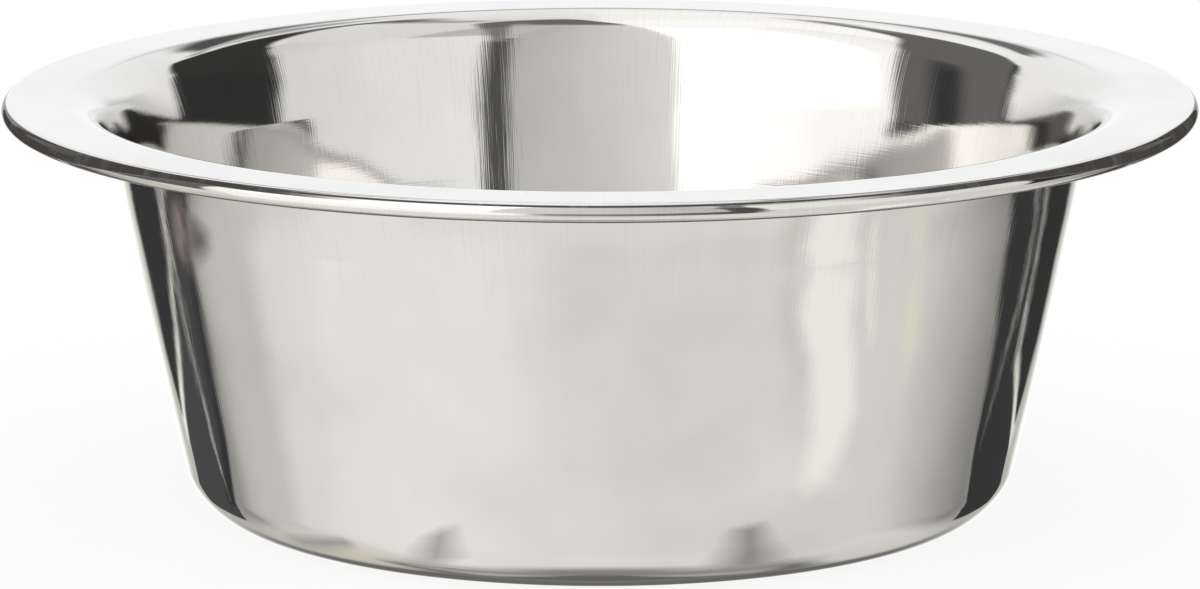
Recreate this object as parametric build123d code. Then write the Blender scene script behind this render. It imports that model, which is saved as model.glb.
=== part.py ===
"""Stainless dog bowl: one disc of sheet steel, drawn into a tapered bowl with a wide flat rim and a rolled edge.

The frame has +Z up along the bowl's axis, with the origin on the floor at the middle of the base. Lengths are
in millimetres and angles in degrees.
"""
from build123d import *
import math
import os

# Sheet
sheet_thickness = 0.6

# Bowl: the mouth is measured on the outside of the wall, carried up to the plane of the rim
bowl_height = 84.0
mouth_diameter = 200.4
wall_taper = 12.3
base_corner_radius = 12.0

# Spring in the drawn wall: some way below the rim it leans in a little, then it flares into the flange
lean_drop = 38.0
lean_depth = 0.45
lean_bend_radius = 400.0
flare_drop = 12.5
flare_taper = 22.0
flare_bend_radius = 62.0

# Base: a shallow pressed-up panel inside the flat ring that the bowl stands on
standing_ring_width = 10.0
panel_lift = 1.2
panel_step_width = 5.0
panel_bend_radius = 4.0

# Rim: a flat flange from the wall to the outer edge, rolled under into a hollow bead
flange_width = 19.8
flange_bend_radius = 8.5
bead_diameter = 3.8
bead_edge_gap = 1.0

# Worked out from the sizes above
bead_radius = bead_diameter / 2
mouth_radius = mouth_diameter / 2
bead_start_radius = mouth_radius + flange_width - bead_radius
flange_underside = bowl_height - sheet_thickness
wall_slope = math.tan(math.radians(wall_taper))
corner_setback = base_corner_radius * math.tan(math.radians(90 - wall_taper) / 2)


def wall_radius(height):
    """Radius of the wall's outer face at a height, as if it ran straight from floor to rim."""
    return mouth_radius - (bowl_height - height) * wall_slope


def outer_face_line():
    """The sheet's outer face from the axis to the bead: panel, standing ring, wall, flare and flange."""
    step_foot_radius = wall_radius(0) - corner_setback - standing_ring_width
    lean_height = bowl_height - lean_drop
    flare_height = bowl_height - flare_drop
    flare_radius = wall_radius(flare_height) - lean_depth
    flare_run = (flange_underside - flare_height) * math.tan(math.radians(flare_taper))
    corners = [
        (0, panel_lift),
        (step_foot_radius - panel_step_width, panel_lift),
        (step_foot_radius, 0),
        (wall_radius(0), 0),
        (wall_radius(lean_height), lean_height),
        (flare_radius, flare_height),
        (flare_radius + flare_run, flange_underside),
        (bead_start_radius, flange_underside),
    ]
    bends = [panel_bend_radius, panel_bend_radius, base_corner_radius]
    bends += [lean_bend_radius, flare_bend_radius, flange_bend_radius]
    return FilletPolyline(*corners, radius=bends)


def bead_arc(start_height, radius):
    """One face of the curl, out and down from the flange and back under it."""
    edge_rise_share = (bead_radius - sheet_thickness - bead_edge_gap) / bead_radius
    turn = 270 + math.degrees(math.asin(edge_rise_share))
    return JernArc((bead_start_radius, start_height), (1, 0), radius, -turn)


def sheet_section():
    """Half section of the bowl: the outer face thickened inwards by the sheet, and the curl that follows it."""
    outer_line = outer_face_line()
    inner_line = offset(outer_line, sheet_thickness, side=Side.LEFT, closed=False)
    curl_inside = bead_arc(flange_underside, bead_radius - sheet_thickness)
    curl_outside = bead_arc(bowl_height, bead_radius)
    axis_line = Line((0, panel_lift), (0, panel_lift + sheet_thickness))
    curl_edge = Line(curl_inside @ 1, curl_outside @ 1)
    return make_face([outer_line, inner_line, curl_inside, curl_outside, axis_line, curl_edge])


def bowl():
    """The whole bowl: the half section turned about the axis."""
    return revolve(Plane.XZ * sheet_section(), Axis.Z)


os.makedirs("parts", exist_ok=True)
export_step(bowl(), "parts/bowl.step")
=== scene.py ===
"""Looks of the stainless dog bowl: a polished drawn-steel bowl on a white floor, in a white studio.

Lengths are in metres and angles in degrees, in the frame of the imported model: +Z up, origin under the base.
"""
import bpy
import math
from collections import namedtuple

import numpy as np
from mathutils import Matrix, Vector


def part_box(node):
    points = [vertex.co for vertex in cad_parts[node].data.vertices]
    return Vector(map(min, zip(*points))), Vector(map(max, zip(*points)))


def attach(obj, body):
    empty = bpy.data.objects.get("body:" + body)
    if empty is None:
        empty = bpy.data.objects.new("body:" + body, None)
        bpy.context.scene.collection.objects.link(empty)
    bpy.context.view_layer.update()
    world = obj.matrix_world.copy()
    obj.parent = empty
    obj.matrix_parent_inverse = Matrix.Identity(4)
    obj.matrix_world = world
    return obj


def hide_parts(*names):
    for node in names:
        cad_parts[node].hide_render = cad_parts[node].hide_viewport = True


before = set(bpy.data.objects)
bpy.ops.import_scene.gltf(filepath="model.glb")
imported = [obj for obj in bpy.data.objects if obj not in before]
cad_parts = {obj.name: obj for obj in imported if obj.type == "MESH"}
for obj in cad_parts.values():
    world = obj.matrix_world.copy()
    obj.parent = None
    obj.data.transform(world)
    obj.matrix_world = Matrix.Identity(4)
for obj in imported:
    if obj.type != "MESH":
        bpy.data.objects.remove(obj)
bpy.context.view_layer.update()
bowl_low, bowl_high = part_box("bowl")

# Bowl: overall sizes come from the frame, the rest repeats the sheet's own sizes
rim_radius = (bowl_high.x - bowl_low.x) / 2
bowl_height = bowl_high.z - bowl_low.z
sheet_thickness = 0.0006
wall_taper = 12.3
base_corner_radius = 0.012
standing_ring_width = 0.010
panel_lift = 0.0012
panel_step_width = 0.005
panel_bend_radius = 0.004
flange_width = 0.0198
bead_radius = 0.0019
bead_edge_gap = 0.001

# Spring in the drawn wall: some way below the rim it leans in a little, then it flares into the flange
lean_drop = 0.038
lean_depth = 0.00045
lean_bend_radius = 0.4
flare_drop = 0.0125
flare_taper = 22.0
flare_bend_radius = 0.062
flange_bend_radius = 0.0085

# Unevenness of the polished wall: waves round the bowl, waves up each metre of it, and depth
Wave = namedtuple("Wave", "turns climb depth")
wall_waves = [Wave(9, 14, 2.6e-5), Wave(14, -22, 1.9e-5), Wave(23, 31, 1.3e-5), Wave(37, -12, 0.8e-5)]
wave_low_fade = (0.009, 0.024)
wave_high_fade = (0.076, 0.060)

# Mesh: longest step along the sheet, turn of one step round a bend, and steps round the bowl
ring_step = 0.002
bend_step = 3.0
steps_round = 540

# Photograph's camera
image_width_px = 1200
focal_length_px = 7482
sensor_width_mm = 36.0
camera_distance = 1.4815
camera_height = 0.3431
camera_pitch = 11.461

# Steel: its colour, faint clouds in the polish, and how dull it is where it is smooth and where it is lined
steel_colour = (0.72, 0.705, 0.675, 1)
cloud_colour = (0.66, 0.645, 0.615, 1)
cloud_size = 0.03
cloud_detail = 3.0
cloud_roughness = 0.55
cloud_range = (0.4, 0.75)
polish_roughness = (0.025, 0.075)
dull_range = (0.3, 0.85)

# Fine lines that drawing left up the wall and turning left round it. The drawn ones fade at base and rim.
drawn_line_turn = 1 / 300
drawn_line_length = 0.035
turned_line_turn = 1 / 5
turned_line_width = 0.0004
turned_line_share = 0.25
line_detail = 2.0
line_roughness = 0.6
line_depth = 0.9e-5
line_filter_width = 0.1
drawn_low_fade = (0.012, 0.045)
drawn_low_share = 0.15
drawn_high_drops = (0.001, 0.006)

# Under the rim the drawn lines show in the colour too
drawn_tint_drops = (0.035, 0.008)
drawn_tint_range = (0.45, 0.75)
drawn_tint_share = 0.8

# Painted shade along the rolled edge: a painted dark reflection along its crest and painted shade under the
# curl.
# Drop below the rim's top and half width of each line, and the shares of the half width between which a
# line's edge fades
painted_shade_colour = (0.058, 0.053, 0.048, 1)
painted_shade_specular = 0.08
painted_shade_lines = [(0.00050, 0.00017), (0.00368, 0.00040)]
painted_shade_line_edge = (1.5, 0.5)
painted_shade_line_gaps = (0.88, 1.0)

# Painted dark reflection as a band on the bead at the bowl's left and right: its drops at top and foot, the
# shares of these where it is full, and how far aside, from 0 in front to 1 at the side, it starts and deepens
painted_reflection_band = (0.00024, 0.00115)
painted_reflection_band_full = (1.3, 0.9)
painted_reflection_band_end_drop = 0.0036
painted_reflection_band_start = (0.33, 0.53)
painted_reflection_band_widening = (0.62, 1.0)
painted_reflection_band_gaps = (0.93, 1.0)

# The painted shade and reflection lie on the outer part of the bead, and are broken in patches
painted_shade_inner_edge = 0.8
patch_turn = 1 / 25
patch_length = 0.01
patch_detail = 3.0
patch_range = (0.3, 0.5)

# One point of the sheet's section: radius, height, and the sheet's direction there as an angle
Point = namedtuple("Point", "radius height heading")


def line_points(start, end):
    """Points from start to end of a straight run, closer together at its ends, without the last one."""
    heading = math.atan2(end[1] - start[1], end[0] - start[0])
    count = max(2, math.ceil(math.pi / 2 * math.dist(start, end) / ring_step))
    shares = (1 - np.cos(math.pi * np.arange(count) / count)) / 2
    return [Point(*np.add(start, np.subtract(end, start) * share), heading) for share in shares]


def arc_points(centre, radius, heading, turn):
    """Points of an arc that sets out on a heading and turns, without the last one."""
    count = max(2, math.ceil(abs(math.degrees(turn)) / bend_step))
    side = math.copysign(1, turn)
    points = []
    for step in range(count):
        way = heading + turn * step / count
        out = way - side * math.pi / 2
        points.append(Point(centre[0] + radius * math.cos(out), centre[1] + radius * math.sin(out), way))
    return points


def rounded_line(corners, bends):
    """Points of a polyline whose inner corners are rounded by the bends."""
    points = []
    start = np.array(corners[0])
    for before, corner, after, radius in zip(corners, corners[1:], corners[2:], bends):
        way_in = math.atan2(corner[1] - before[1], corner[0] - before[0])
        way_out = math.atan2(after[1] - corner[1], after[0] - corner[0])
        turn = way_out - way_in
        side = math.copysign(1, turn)
        setback = radius * math.tan(abs(turn) / 2)
        bend_start = np.array(corner) - setback * np.array((math.cos(way_in), math.sin(way_in)))
        bend_end = np.array(corner) + setback * np.array((math.cos(way_out), math.sin(way_out)))
        centre = bend_start + side * radius * np.array((-math.sin(way_in), math.cos(way_in)))
        points += line_points(start, bend_start)
        points += arc_points(centre, radius, way_in, turn)
        start = bend_end
    return points + line_points(start, corners[-1])


def sheet_line():
    """The sheet's outer face from the axis to the curl's edge."""
    slope = math.tan(math.radians(wall_taper))
    mouth_radius = rim_radius - flange_width
    underside = bowl_height - sheet_thickness
    lean_height = bowl_height - lean_drop
    flare_height = bowl_height - flare_drop
    foot_radius = mouth_radius - bowl_height * slope
    setback = base_corner_radius * math.tan(math.radians(90 - wall_taper) / 2)
    step_foot = foot_radius - setback - standing_ring_width
    bead_start = rim_radius - bead_radius
    flare_radius = foot_radius + flare_height * slope - lean_depth
    flare_run = (underside - flare_height) * math.tan(math.radians(flare_taper))
    corners = [
        (0, panel_lift),
        (step_foot - panel_step_width, panel_lift),
        (step_foot, 0),
        (foot_radius, 0),
        (foot_radius + lean_height * slope, lean_height),
        (flare_radius, flare_height),
        (flare_radius + flare_run, underside),
        (bead_start, underside),
    ]
    bends = [panel_bend_radius, panel_bend_radius, base_corner_radius]
    bends += [lean_bend_radius, flare_bend_radius, flange_bend_radius]
    edge_rise_share = (bead_radius - sheet_thickness - bead_edge_gap) / bead_radius
    curl_turn = math.radians(270) + math.asin(edge_rise_share)
    curl_centre = (bead_start, bowl_height - bead_radius)
    curl = arc_points(curl_centre, bead_radius - sheet_thickness, 0, -curl_turn)
    return rounded_line(corners, bends) + curl


def rise(value, start, end):
    """Smooth step from 0 at start to 1 at end."""
    share = np.clip((value - start) / (end - start), 0, 1)
    return share * share * (3 - 2 * share)


def unevenness(angles, heights):
    """How far the wall stands in or out at each height and angle round the bowl."""
    depth = np.zeros((len(heights), len(angles)))
    for wave in wall_waves:
        phase = wave.turns * angles[None] + 2 * math.pi * wave.climb * heights[:, None]
        depth += wave.depth * np.sin(phase + wave.turns)
    fade = rise(heights, *wave_low_fade) * rise(heights, *wave_high_fade)
    return depth * fade[:, None]


def bowl_piece():
    """The bowl as one closed sheet: out along one face, round the curl's edge and back along the other."""
    line = sheet_line()
    outer = np.array([(point.radius, point.height) for point in line])
    heading = np.array([point.heading for point in line])
    across = np.stack((-np.sin(heading), np.cos(heading)), axis=1)
    angles = 2 * math.pi * np.arange(steps_round) / steps_round
    shift = across[:, None] * unevenness(angles, outer[:, 1])[:, :, None]
    inner = outer + sheet_thickness * across
    faces = np.concatenate((outer[:, None] + shift, (inner[:, None] + shift)[::-1]))
    return spin("polished_bowl", faces, angles)


def spin(name, section, angles):
    """Closed mesh of a section loop turned about Z, given at each angle. It starts and ends on the axis."""
    rings = section[1:-1]
    around = np.stack((np.sin(angles), -np.cos(angles)), axis=1)
    flat = rings[:, :, 0, None] * around[None]
    vertices = np.concatenate((flat, rings[:, :, 1, None]), axis=2).reshape(-1, 3).tolist()
    first_pole = len(vertices)
    vertices += [(0, 0, section[0, 0, 1]), (0, 0, section[-1, 0, 1])]
    faces = []
    for ring in range(len(rings) - 1):
        for step in range(steps_round):
            here = ring * steps_round + step
            beside = ring * steps_round + (step + 1) % steps_round
            faces.append((here, here + steps_round, beside + steps_round, beside))
    last_ring = (len(rings) - 1) * steps_round
    for step in range(steps_round):
        beside = (step + 1) % steps_round
        faces.append((first_pole, step, beside))
        faces.append((first_pole + 1, last_ring + beside, last_ring + step))
    return mesh_piece(name, vertices, faces)


def mesh_piece(name, vertices, faces):
    """Smooth mesh object in the scene."""
    mesh = bpy.data.meshes.new(name)
    mesh.from_pydata(vertices, [], faces)
    mesh.polygons.foreach_set("use_smooth", [True] * len(mesh.polygons))
    mesh.update()
    piece = bpy.data.objects.new(name, mesh)
    bpy.context.scene.collection.objects.link(piece)
    return piece


def join(tree, kind, *values, output=0, **settings):
    """Add a node, set its properties, feed its inputs from values or other outputs, and give one output."""
    node = tree.nodes.new(kind)
    for key, value in settings.items():
        setattr(node, key, value)
    for socket, value in zip(node.inputs, values):
        if isinstance(value, bpy.types.NodeSocket):
            tree.links.new(value, socket)
        else:
            socket.default_value = value
    return node.outputs[output] if node.outputs else None


def calculate(tree, operation, *values):
    """One step of arithmetic in a node tree."""
    return join(tree, "ShaderNodeMath", *values, operation=operation)


def fade_between(tree, value, start, end, low=0.0, high=1.0):
    """Smooth change from low where the value is at start to high where it is at end."""
    return join(tree, "ShaderNodeMapRange", value, start, end, low, high, interpolation_type="SMOOTHSTEP")


def below_rim(drops):
    """Heights at these drops below the rim's top."""
    return [bowl_height - drop for drop in drops]


def line_noise(tree, way, along, turn, length, detail):
    """Noise drawn out into lines, sized by a turn in radians round the bowl and a length along the sheet."""
    spread = join(tree, "ShaderNodeVectorMath", way, (1 / turn,) * 3, operation="MULTIPLY")
    climb = join(tree, "ShaderNodeCombineXYZ", 0.0, 0.0, calculate(tree, "MULTIPLY", along, 1 / length))
    place = join(tree, "ShaderNodeVectorMath", spread, climb, operation="ADD")
    return join(tree, "ShaderNodeTexNoise", place, 0.0, 1.0, detail, line_roughness)


def painted_shade_cover(tree, height, radius, way, patches):
    """Where shade and reflection are painted dark: thin broken lines along the rolled edge, and a band at its
    left and right.
    """
    drop = calculate(tree, "SUBTRACT", bowl_height, height)
    cover = 0.0
    for line_drop, half_width in painted_shade_lines:
        distance = calculate(tree, "ABSOLUTE", calculate(tree, "SUBTRACT", drop, line_drop))
        line = fade_between(tree, distance, *(share * half_width for share in painted_shade_line_edge))
        cover = calculate(tree, "MAXIMUM", line, cover)
    lines = calculate(tree, "MULTIPLY", cover, fade_between(tree, patches, *patch_range, *painted_shade_line_gaps))

    aside = calculate(tree, "ABSOLUTE", join(tree, "ShaderNodeSeparateXYZ", way, output="X"))
    along_band = fade_between(tree, aside, *painted_reflection_band_start)
    band_top, band_foot = painted_reflection_band
    top_full, foot_full = painted_reflection_band_full
    foot = fade_between(tree, aside, *painted_reflection_band_widening, band_foot, painted_reflection_band_end_drop)
    under_top = fade_between(tree, drop, band_top, top_full * band_top)
    above_foot = fade_between(tree, drop, foot, calculate(tree, "MULTIPLY", foot, foot_full))
    across_band = calculate(tree, "MULTIPLY", under_top, above_foot)
    band_gaps = fade_between(tree, patches, *patch_range, *painted_reflection_band_gaps)
    band = calculate(tree, "MULTIPLY", calculate(tree, "MULTIPLY", along_band, across_band), band_gaps)

    inner_edge = rim_radius - painted_shade_inner_edge * bead_radius
    outside = fade_between(tree, radius, rim_radius - bead_radius, inner_edge)
    return calculate(tree, "MULTIPLY", calculate(tree, "MAXIMUM", lines, band), outside)


def steel_material():
    """Polished stainless sheet: drawn lines up the wall, turned lines round it, clouds, and painted dark
    reflection and shade on the rolled edge.
    """
    material = bpy.data.materials.new("polished_stainless")
    material.use_nodes = True
    tree = material.node_tree
    shader = tree.nodes["Principled BSDF"]
    place = join(tree, "ShaderNodeTexCoord", output="Object")
    flat = join(tree, "ShaderNodeVectorMath", place, (1, 1, 0), operation="MULTIPLY")
    radius = join(tree, "ShaderNodeVectorMath", flat, operation="LENGTH", output="Value")
    way = join(tree, "ShaderNodeVectorMath", flat, operation="NORMALIZE")
    height = join(tree, "ShaderNodeSeparateXYZ", place, output="Z")
    along = calculate(tree, "ADD", height, radius)
    drawn = line_noise(tree, way, along, drawn_line_turn, drawn_line_length, line_detail)
    turned = line_noise(tree, way, along, turned_line_turn, turned_line_width, line_detail)
    clouds = join(tree, "ShaderNodeTexNoise", place, 0.0, 1 / cloud_size, cloud_detail, cloud_roughness)

    above_base = fade_between(tree, height, *drawn_low_fade, drawn_low_share, 1.0)
    under_flange = fade_between(tree, height, *below_rim(drawn_high_drops))
    on_wall = calculate(tree, "MULTIPLY", above_base, under_flange)
    turned_part = calculate(tree, "MULTIPLY", turned, turned_line_share)
    lines = calculate(tree, "MULTIPLY_ADD", drawn, on_wall, turned_part)
    bump = join(tree, "ShaderNodeBump", 1.0, line_depth, line_filter_width, lines)
    tree.links.new(bump, shader.inputs["Normal"])

    dull = calculate(tree, "MULTIPLY", calculate(tree, "ADD", lines, clouds), 1 / 2)
    tree.links.new(fade_between(tree, dull, *dull_range, *polish_roughness), shader.inputs["Roughness"])

    cloudy = fade_between(tree, clouds, *cloud_range)
    clouded = join(tree, "ShaderNodeMixRGB", cloudy, steel_colour, cloud_colour)
    near_rim = fade_between(tree, height, *below_rim(drawn_tint_drops))
    lined = calculate(tree, "MULTIPLY", fade_between(tree, drawn, *drawn_tint_range), near_rim)
    lined = calculate(tree, "MULTIPLY", lined, drawn_tint_share)
    tinted = join(tree, "ShaderNodeMixRGB", lined, clouded, cloud_colour)

    patches = line_noise(tree, way, along, patch_turn, patch_length, patch_detail)
    # Painted shade and dark reflection on the rolled edge darken the colour and take away the metal
    painted_shade = painted_shade_cover(tree, height, radius, way, patches)
    colour = join(tree, "ShaderNodeMixRGB", painted_shade, tinted, painted_shade_colour)
    tree.links.new(colour, shader.inputs["Base Color"])
    tree.links.new(calculate(tree, "SUBTRACT", 1.0, painted_shade), shader.inputs["Metallic"])
    shader.inputs["Specular IOR Level"].default_value = painted_shade_specular
    return material


# What the steel mirrors far off: a dome of light with cards, flags and strokes, by place round the bowl.
# Azimuth 0 is towards the camera and grows to its right, and elevation 0 is the horizon.
dome_radius = 6.0
dome_step = 0.75
backdrop_level = 1.12
horizon_soft = 1.0

# Colour casts: cool from the backdrop, warm from the floor, and a warmer glow from the floor at the left
backdrop_tint = (0.985, 1.0, 1.025)
backdrop_side_fade = (120, 150)
backdrop_top_fade = (50, 30)
floor_tint = (1.008, 1.0, 0.97)
floor_fade = (4, -10)
glow_tint = (1.03, 1.0, 0.88)
glow_azimuth = (-150, -100)
glow_azimuth_soft = 12
glow_elevation = (-60, -40)
glow_elevation_soft = 8

# Cards: oblongs of light or shade, with the brightness at their two sides
Card = namedtuple("Card", "name azimuth elevation levels soft")
cards = [
    Card("floor_near", (-60, 60), (-72, -44), (1.0, 0.95), 5.0),
    Card("corner_left", (-152, -86), (-60, -35), (0.66, 0.88), 6.0),
    Card("corner_right", (86, 152), (-60, -35), (0.92, 0.76), 6.0),
    Card("behind_left", (-200, -162), (-24, 0), (1.1, 1.1), 4.0),
    Card("behind_right", (162, 200), (-24, 0), (1.1, 1.1), 4.0),
    Card("underneath", (-200, 200), (-120, -76), (0.31, 0.31), 9.0),
    Card("contact_left", (-200, -156), (-84, -30), (0.17, 0.17), 6.0),
    Card("contact_right", (156, 200), (-84, -30), (0.17, 0.17), 6.0),
    Card("haze_left", (-164, -118), (-14, 7), (0.8, 0.4), 5.0),
    Card("haze_right", (118, 164), (-14, 7), (0.25, 0.6), 5.0),
    Card("floor_far_left", (-76, -15), (-27, -1), (1.35, 1.35), 3.0),
    Card("camera_low", (-12, 31), (-27, -1), (0.42, 0.05), 3.0),
    Card("back_high_left", (-200, -140), (40, 100), (1.25, 1.3), 6.0),
    Card("back_high_right", (140, 200), (40, 100), (0.98, 1.25), 6.0),
    Card("back_line_left", (-200, -178), (20, 29), (0.68, 0.70), 3.0),
    Card("back_line_right", (178, 200), (20, 29), (0.70, 0.68), 3.0),
    Card("overhead_left", (-150, -14), (52, 100), (1.35, 1.35), 6.0),
    Card("overhead_right", (56, 150), (50, 100), (0.95, 0.97), 5.0),
    Card("overhead_middle", (-18, 62), (47, 100), (0.86, 0.64), 4.0),
    Card("overhead_gap", (-20, 165), (79, 100), (0.22, 0.18), 3.5),
    Card("key_left", (-110, -20), (-2, 70), (1.2, 1.55), 1.8),
    Card("key_left_high", (-75, -22), (13, 70), (1.6, 1.95), 2.0),
    Card("camera_gap", (-20, 25), (-2, 75), (0.95, 0.64), 1.2),
    Card("stand", (23.8, 31.0), (-2, 42), (0.10, 0.10), 0.5),
    Card("fill_right", (31, 116), (-2, 52), (1.10, 0.86), 1.5),
    Card("flag_left_low", (-124, -81), (-16, 5), (0.05, 0.05), 2.0),
    Card("flag_right_low", (88, 124), (-16, 5), (0.04, 0.04), 2.0),
]

# Floor that the wall mirrors: brightness by azimuth
floor_levels = [
    (-180, 0.6), (-150, 0.55), (-124, 0.35), (-117, 0.62), (-112, 0.69), (-101, 0.73), (-94, 0.92),
    (-80, 1.0), (-50, 1.08), (-30, 1.05), (-8, 0.92), (40, 0.905), (60, 0.87), (82, 0.87), (90, 0.82),
    (104, 0.6), (113, 0.47), (124, 0.3), (150, 0.55), (180, 0.6),
]

# Flags: dark screens beside the bowl that arch over its back, by their corners' azimuth and elevation
Flag = namedtuple("Flag", "name corners level soft")
flags = [
    Flag("flag_left", [
        (-79, -13), (-79, 16), (-80.4, 24.5), (-82, 29), (-87, 37), (-94, 44.2), (-100, 48.5),
        (-107.4, 51.5), (-118, 54), (-131, 55.5), (-142, 57), (-152, 56.5), (-160, 55.5), (-160, 52),
        (-152, 49), (-147, 45), (-144, 40.5), (-141, 38), (-135, 33.2), (-126, 26), (-121, 20), (-119, 12),
        (-118.8, -13),
    ], 0.17, 0.9),
    Flag("flag_right", [
        (87.5, -13), (87.5, 20), (88.8, 24), (91, 29), (95, 34.3), (103, 41), (112, 46.5), (124, 50),
        (138, 53), (150, 53.3), (158, 52.5), (158, 49.5), (150, 45.3), (144.5, 41.5), (143.5, 38),
        (144, 33.5), (136, 28.5), (129, 23), (125.8, 16), (124.6, 10), (124.6, -13),
    ], 0.046, 0.9),
]

# Strokes: curved flags and gaps, as points of azimuth, elevation and half width along the stroke
Stroke = namedtuple("Stroke", "name points level soft")
strokes = [
    Stroke("wing_right_end", [
        (157, 50.5, 2.5), (165, 51, 2.2), (163, 56, 1.6), (157, 61.5, 1.6),
    ], 0.16, 1.5),
    Stroke("overhead_line", [(157, 61.5, 1.4), (150, 66, 1.4), (140, 73, 1.6)], 0.45, 1.5),
    Stroke("crescent_right", [
        (155, 39.3, 1), (160, 39, 2.2), (164, 37.5, 2.8), (168, 35.5, 2.8), (172, 33, 2.5), (175, 30.5, 2.2),
        (177.3, 27.8, 1.6), (178.5, 25.5, 1.2),
    ], 0.11, 1.2),
    Stroke("crescent_right_end", [(178.8, 26, 1.1), (180, 24, 0.9)], 0.4, 0.8),
    Stroke("gap_right", [
        (147, 39, 1.5), (153, 40.8, 1.0), (158, 43, 1.0), (163, 43.7, 1.8), (169, 42, 2.2), (173, 38.5, 2),
    ], 0.5, 1.2),
    Stroke("wing_left_end", [(-152, 53, 2), (-158, 53.5, 2), (-164, 52, 1.6), (-169, 48, 1.2)], 0.32, 1.8),
    Stroke("flag_left_edge", [
        (-118.2, 0, 1), (-118.2, 12, 1), (-120.5, 20, 1.2), (-127, 27, 1.2), (-134, 32.5, 0.8),
    ], 0.07, 0.7),
    Stroke("crescent_left", [
        (-160, 35, 1), (-166, 34, 2), (-170, 32, 2.5), (-174, 30, 2.5), (-177, 27, 1.8), (-178.5, 25.5, 1.2),
    ], 0.2, 1.2),
    Stroke("crescent_left_end", [(-178.8, 26, 1.1), (-180, 24, 0.9)], 0.4, 0.8),
    Stroke("stand_top", [
        (27.4, 38, 2.2), (28.5, 43, 2.1), (31, 50, 2.0), (34, 56, 2.0), (39, 63, 2.0), (47, 69, 2.0),
        (60, 74, 2.2),
    ], 0.27, 0.8),
    Stroke("stand_arm", [(60, 74, 2.2), (83, 78, 2.4), (117, 79, 2.6), (143, 82, 3)], 0.2, 0.9),
    Stroke("contact_right", [
        (132, -61, 2), (145, -58, 3), (153, -54, 3), (162, -59, 4), (180, -58, 5),
    ], 0.22, 3.0),
    Stroke("contact_left", [(-132, -60, 2), (-145, -61, 3), (-160, -60, 3.5), (-180, -58, 5)], 0.22, 3.0),
]

# Black and grey cards stand close beside the bowl, from its side round to its back: corners by depth and
# height. The grey card of a side hangs under the black one, and both follow the same seam.
near_card_distance = 0.195
NearCard = namedtuple("NearCard", "name corners colour")
left_seam = [(0.015, 0.03), (0.06, 0.022), (0.08, 0.0), (0.11, -0.02), (0.15, -0.04), (0.20, -0.06)]
right_seam = [
    (0.012, 0.03), (0.06, 0.02), (0.066, 0.005), (0.085, -0.01), (0.11, -0.028), (0.15, -0.042),
    (0.20, -0.062),
]
left_black_top = [(0.015, 0.10), (0.225, 0.10), (0.225, 0.0), (0.24, -0.045)]
right_black_top = [
    (0.012, 0.10), (0.06, 0.10), (0.062, 0.175), (0.215, 0.175), (0.225, 0.10), (0.225, 0.0), (0.27, -0.045),
]
left_grey_foot = [
    (0.25, -0.12), (0.11, -0.12), (0.068, -0.08), (0.055, -0.06), (0.043, -0.04), (0.034, -0.02),
    (0.026, 0.0),
]
right_grey_foot = [
    (0.25, -0.12), (0.11, -0.12), (0.07, -0.08), (0.058, -0.06), (0.045, -0.04), (0.033, -0.02),
    (0.022, 0.0),
]
near_cards = {
    "left": [
        NearCard("black", left_black_top + left_seam[::-1], (0.046, 0.046, 0.048)),
        NearCard("grey", left_seam + left_grey_foot, (0.08, 0.08, 0.083)),
    ],
    "right": [
        NearCard("black", right_black_top + right_seam[::-1], (0.040, 0.040, 0.041)),
        NearCard("grey", right_seam + right_grey_foot, (0.05, 0.05, 0.052)),
    ],
}

# Marks: soft ribbons of light or shade close to the bowl, as points of two coordinates and a half width.
# Those at the sides go by depth and height, a little in front of the near cards.
Mark = namedtuple("Mark", "name points colour soft")
side_mark_distance = 0.995 * near_card_distance
side_marks = {
    "left": [
        Mark("edge_shade", [
            (0.020, 0.030, 0.004), (0.030, 0.0, 0.006), (0.039, -0.020, 0.006), (0.049, -0.040, 0.006),
            (0.062, -0.060, 0.007), (0.076, -0.080, 0.007),
        ], (0.045, 0.045, 0.048), 0.004),
        Mark("rib", [
            (0.060, 0.030, 0.0025), (0.063, 0.015, 0.002), (0.066, 0.0, 0.0015), (0.070, -0.020, 0.0012),
            (0.075, -0.042, 0.001), (0.060, -0.060, 0.001),
        ], (0.95, 0.93, 0.88), 0.001),
        Mark("edge", [
            (0.058, 0.026, 0.002), (0.078, 0.002, 0.002), (0.110, -0.020, 0.0025), (0.150, -0.038, 0.003),
            (0.200, -0.058, 0.003), (0.245, -0.070, 0.004),
        ], (1.0, 0.99, 0.95), 0.001),
        Mark("screen", [
            (0.086, 0.080, 0.020), (0.086, 0.100, 0.022), (0.088, 0.135, 0.022), (0.092, 0.175, 0.020),
            (0.100, 0.225, 0.016),
        ], (0.050, 0.050, 0.052), 0.010),
        Mark("blotch", [
            (0.004, 0.022, 0.003), (0.018, 0.016, 0.006), (0.034, 0.010, 0.006), (0.05, 0.006, 0.003),
        ], (0.34, 0.29, 0.28), 0.005),
        Mark("spread", [
            (0.025, 0.0135, 0.0030), (0.017, 0.0130, 0.0055), (0.009, 0.0125, 0.0050),
            (0.000, 0.0115, 0.0032), (-0.012, 0.0105, 0.0010),
        ], (0.19, 0.18, 0.18), 0.003),
    ],
    "right": [
        Mark("rib", [
            (0.062, 0.030, 0.002), (0.066, 0.0, 0.0015), (0.064, -0.020, 0.001), (0.058, -0.045, 0.001),
        ], (0.85, 0.85, 0.81), 0.001),
        Mark("edge", [
            (0.087, 0.036, 0.002), (0.085, 0.012, 0.002), (0.093, -0.010, 0.002), (0.112, -0.028, 0.0025),
            (0.150, -0.042, 0.0025), (0.200, -0.060, 0.003), (0.240, -0.070, 0.004),
        ], (0.9, 0.9, 0.86), 0.001),
    ],
}

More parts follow.
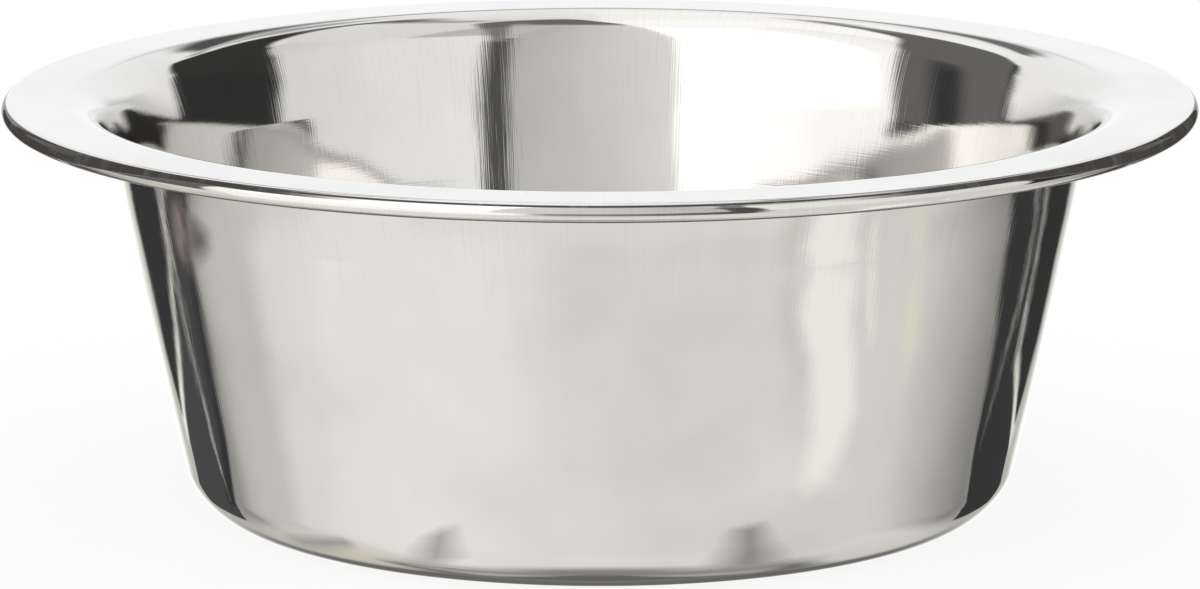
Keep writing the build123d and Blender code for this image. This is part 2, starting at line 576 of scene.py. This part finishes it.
# Marks on the floor go by x and y, each a little lower than the one before
floor_mark_gap = 0.0001
floor_marks = [
    Mark("streak_right", [
        (0.150, -0.140, 0.018), (0.138, -0.133, 0.017), (0.124, -0.127, 0.017), (0.115, -0.113, 0.013),
        (0.098, -0.100, 0.012), (0.085, -0.095, 0.008), (0.072, -0.091, 0.005), (0.062, -0.088, 0.003),
    ], (1.13, 1.12, 1.08), 0.004),
    Mark("shade_right", [
        (0.118, -0.165, 0.004), (0.110, -0.152, 0.006), (0.100, -0.138, 0.006), (0.094, -0.122, 0.005),
        (0.078, -0.110, 0.003),
    ], (0.81, 0.80, 0.765), 0.004),
    Mark("glint_right", [
        (0.168, -0.118, 0.001), (0.161, -0.113, 0.002), (0.150, -0.107, 0.002), (0.141, -0.101, 0.0015),
        (0.130, -0.094, 0.001),
    ], (1.15, 1.14, 1.05), 0.0015),
    Mark("warm_right", [
        (0.190, -0.080, 0.002), (0.175, -0.077, 0.005), (0.150, -0.072, 0.005), (0.126, -0.066, 0.003),
    ], (0.93, 0.92, 0.82), 0.004),
    Mark("spot_right", [
        (0.0428, -0.0948, 0.0025), (0.0415, -0.092, 0.0035), (0.038, -0.087, 0.0048),
        (0.0345, -0.082, 0.0058), (0.031, -0.077, 0.0062), (0.028, -0.072, 0.006),
    ], (0.42, 0.42, 0.42), 0.005),
    Mark("spot_left", [
        (-0.0455, -0.0925, 0.0026), (-0.0430, -0.089, 0.003), (-0.0395, -0.084, 0.0038),
        (-0.0355, -0.078, 0.004), (-0.032, -0.072, 0.004),
    ], (0.54, 0.54, 0.54), 0.0045),
    Mark("glow_front", [
        (-0.075, -0.098, 0.008), (-0.035, -0.106, 0.011), (0.020, -0.108, 0.011), (0.060, -0.102, 0.010),
        (0.092, -0.088, 0.006),
    ], (0.99, 0.98, 0.95), 0.012),
    # A ribbon of shade on the floor that only the steel mirrors
    Mark("shade_mark_left", [
        (-0.066, -0.046, 0.0020), (-0.0625, -0.054, 0.0030), (-0.059, -0.061, 0.0032),
        (-0.057, -0.0655, 0.0030), (-0.0555, -0.069, 0.0015),
    ], (0.46, 0.46, 0.46), 0.003),
]

# White room and floor, and how much of the floor's white gives way to the bowl's shadow
white = (1, 1, 1, 1)
floor_reach = 4.0
shadow_share = 0.14


def between(value, limits, soft):
    """1 inside the limits and 0 outside, with soft edges."""
    return rise(value, limits[0] - soft, limits[0] + soft) * rise(value, limits[1] + soft, limits[1] - soft)


def studio_level(azimuth, elevation):
    """Brightness that comes from each direction."""
    floor = np.interp(azimuth, *np.transpose(floor_levels))
    level = floor + (backdrop_level - floor) * rise(elevation, -horizon_soft, horizon_soft)
    for card in cards:
        cover = between(azimuth, card.azimuth, card.soft) * between(elevation, card.elevation, card.soft)
        shade = np.interp(azimuth, card.azimuth, card.levels)
        level += (shade - level) * cover
    for flag in flags:
        level += (flag.level - level) * flag_cover(azimuth, elevation, flag)
    for stroke in strokes:
        level += (stroke.level - level) * stroke_cover(azimuth, elevation, stroke)
    return level


def studio_tint(azimuth, elevation):
    """Colour cast that comes from each direction."""
    above_floor = rise(elevation, *floor_fade[::-1])
    behind = rise(np.abs(azimuth), *backdrop_side_fade) * above_floor * rise(elevation, *backdrop_top_fade)
    below = rise(elevation, *floor_fade)
    beside = between(azimuth, glow_azimuth, glow_azimuth_soft)
    beside = beside * between(elevation, glow_elevation, glow_elevation_soft)
    cool = (np.array(backdrop_tint) - 1) * behind[..., None]
    warm = (np.array(floor_tint) - 1) * below[..., None]
    glow = (np.array(glow_tint) - 1) * beside[..., None]
    return 1 + cool + warm + glow


def flag_cover(azimuth, elevation, flag):
    """1 inside the flag's corners and 0 outside, with soft edges."""
    inside = np.zeros(azimuth.shape, dtype=bool)
    nearest = np.full(azimuth.shape, np.inf)
    narrow = np.cos(np.radians(elevation))
    for (turn, tilt), (next_turn, next_tilt) in zip(flag.corners, flag.corners[1:] + flag.corners[:1]):
        across, up = azimuth - turn, elevation - tilt
        run, climb = next_turn - turn, next_tilt - tilt
        if climb:
            inside ^= ((tilt > elevation) != (next_tilt > elevation)) & (across < run * up / climb)
        length_squared = (run * narrow) ** 2 + climb ** 2
        share = np.clip((across * narrow * run * narrow + up * climb) / length_squared, 0, 1)
        nearest = np.minimum(nearest, np.hypot((across - share * run) * narrow, up - share * climb))
    return rise(np.where(inside, nearest, -nearest), -flag.soft, flag.soft)


def stroke_cover(azimuth, elevation, stroke):
    """1 on the stroke and 0 off it, with soft edges."""
    cover = np.zeros(azimuth.shape)
    narrow = np.cos(np.radians(elevation))
    for (turn, tilt, width), (next_turn, next_tilt, next_width) in zip(stroke.points, stroke.points[1:]):
        across, up = (azimuth - turn) * narrow, elevation - tilt
        run, climb = (next_turn - turn) * narrow, next_tilt - tilt
        share = np.clip((across * run + up * climb) / (run * run + climb * climb), 0, 1)
        distance = np.hypot(across - share * run, up - share * climb)
        half_width = width + (next_width - width) * share
        cover = np.maximum(cover, rise(distance, half_width + stroke.soft, half_width - stroke.soft))
    return cover


def light_material(name, colour, cover=None):
    """Plain light of a colour, or of the mesh's own colours or cover where these are an attribute's name."""
    material = bpy.data.materials.new(name)
    material.use_nodes = True
    material.cycles.emission_sampling = "NONE"
    tree = material.node_tree
    tree.nodes.clear()
    if isinstance(colour, str):
        colour = join(tree, "ShaderNodeAttribute", attribute_name=colour)
    light = join(tree, "ShaderNodeEmission", colour)
    if cover:
        share = join(tree, "ShaderNodeAttribute", attribute_name=cover, output="Fac")
        light = join(tree, "ShaderNodeMixShader", share, join(tree, "ShaderNodeBsdfTransparent"), light)
    join(tree, "ShaderNodeOutputMaterial", light)
    return material


def mirrored_only(piece):
    """Stage piece that shows in mirrors and nowhere else."""
    piece.visible_camera = False
    piece.visible_diffuse = False
    piece.visible_transmission = False
    piece.visible_shadow = False


def studio_dome():
    """The far studio as a dome of light round the bowl."""
    columns = int(360 / dome_step)
    rows = int(180 / dome_step)
    turns = -180 + dome_step * np.arange(columns)
    tilts = -90 + dome_step * np.arange(rows + 1)
    azimuth, elevation = np.meshgrid(turns, tilts)
    level = studio_level(azimuth, elevation)[..., None] * studio_tint(azimuth, elevation)
    turn, tilt = np.radians(azimuth), np.radians(elevation)
    places = np.stack((np.sin(turn) * np.cos(tilt), -np.cos(turn) * np.cos(tilt), np.sin(tilt)), axis=2)
    faces = []
    for row in range(rows):
        for column in range(columns):
            here = row * columns + column
            beside = row * columns + (column + 1) % columns
            faces.append((here, here + columns, beside + columns, beside))
    dome = mesh_piece("studio_dome", (dome_radius * places).reshape(-1, 3).tolist(), faces)
    light = dome.data.attributes.new("light", "FLOAT_COLOR", "POINT")
    colours = np.pad(level.reshape(-1, 3), ((0, 0), (0, 1)), constant_values=1)
    light.data.foreach_set("color", colours.ravel())
    dome.data.materials.append(light_material("studio_light", "light"))
    mirrored_only(dome)


def mark_piece(name, mark, to_place):
    """Ribbon along a mark's points that fades at its sides and ends."""
    spots = np.array([point[:2] for point in mark.points])
    ways = np.gradient(spots, axis=0)
    across = np.stack((-ways[:, 1], ways[:, 0]), axis=1) / np.linalg.norm(ways, axis=1)[:, None]
    corners = []
    cover = []
    faces = []
    for number, (spot, side, point) in enumerate(zip(spots, across, mark.points)):
        edge = point[2] + mark.soft
        core = max(point[2] - mark.soft, 0)
        shown = 0.0 if number in (0, len(spots) - 1) else 1.0
        row = [to_place(*(spot + side * offset)) for offset in (-edge, -core, core, edge)]
        cover += [0.0, shown, shown, 0.0]
        if corners:
            ends = range(len(corners), len(corners) + len(row) - 1)
            faces += [(end - len(row), end - len(row) + 1, end + 1, end) for end in ends]
        corners += row
    ribbon = mesh_piece(name, corners, faces)
    ribbon.data.attributes.new("cover", "FLOAT", "POINT").data.foreach_set("value", cover)
    ribbon.data.materials.append(light_material(name, mark.colour + (1,), "cover"))
    mirrored_only(ribbon)


def near_studio():
    """The cards beside the bowl, and the ribbons of light and shade on them and on the floor."""
    for side, name in ((-1, "left"), (1, "right")):
        for near_card in near_cards[name]:
            corners = [(side * near_card_distance, depth, height) for depth, height in near_card.corners]
            card = mesh_piece("%s_card_%s" % (near_card.name, name), corners, [tuple(range(len(corners)))])
            card.data.materials.append(light_material("%s_card" % near_card.name, near_card.colour + (1,)))
            mirrored_only(card)
        front = side * side_mark_distance
        for mark in side_marks[name]:
            mark_piece("%s_%s" % (mark.name, name), mark, lambda depth, height: (front, depth, height))
    for number, mark in enumerate(floor_marks):
        depth_below = number * floor_mark_gap
        mark_piece("floor_" + mark.name, mark, lambda x, y: (x, y, -depth_below))


def white_world():
    """Plain white room."""
    world = bpy.data.worlds.new("white_room")
    world.use_nodes = True
    world.cycles.sampling_method = "NONE"
    background = world.node_tree.nodes["Background"]
    background.inputs["Color"].default_value = white
    background.inputs["Strength"].default_value = 1.0
    bpy.context.scene.world = world


def floor_piece():
    """White floor that takes the bowl's soft shadow. Mirrors show the studio's own floor instead."""
    reach = floor_reach
    corners = [(-reach, -reach, 0), (reach, -reach, 0), (reach, reach, 0), (-reach, reach, 0)]
    floor = mesh_piece("floor", corners, [(0, 1, 2, 3)])
    floor.visible_glossy = False
    material = bpy.data.materials.new("white_floor")
    material.use_nodes = True
    tree = material.node_tree
    tree.nodes.clear()
    paint = join(tree, "ShaderNodeBsdfDiffuse", white)
    glow = join(tree, "ShaderNodeEmission", white)
    shown = join(tree, "ShaderNodeMixShader", shadow_share, glow, paint)
    join(tree, "ShaderNodeOutputMaterial", shown)
    floor.data.materials.append(material)


def photo_camera():
    """Camera at the photograph's place."""
    data = bpy.data.cameras.new("camera")
    data.sensor_fit = "HORIZONTAL"
    data.sensor_width = sensor_width_mm
    data.lens = focal_length_px / image_width_px * sensor_width_mm
    camera = bpy.data.objects.new("camera", data)
    camera.location = (0, -camera_distance, camera_height)
    camera.rotation_euler = (math.radians(90 - camera_pitch), 0, 0)
    bpy.context.scene.collection.objects.link(camera)
    bpy.context.scene.camera = camera


bowl = bowl_piece()
bowl.data.materials.append(steel_material())
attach(bowl, "root")
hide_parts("bowl")
white_world()
studio_dome()
near_studio()
floor_piece()
photo_camera()
bpy.context.scene.view_settings.view_transform = "Standard"
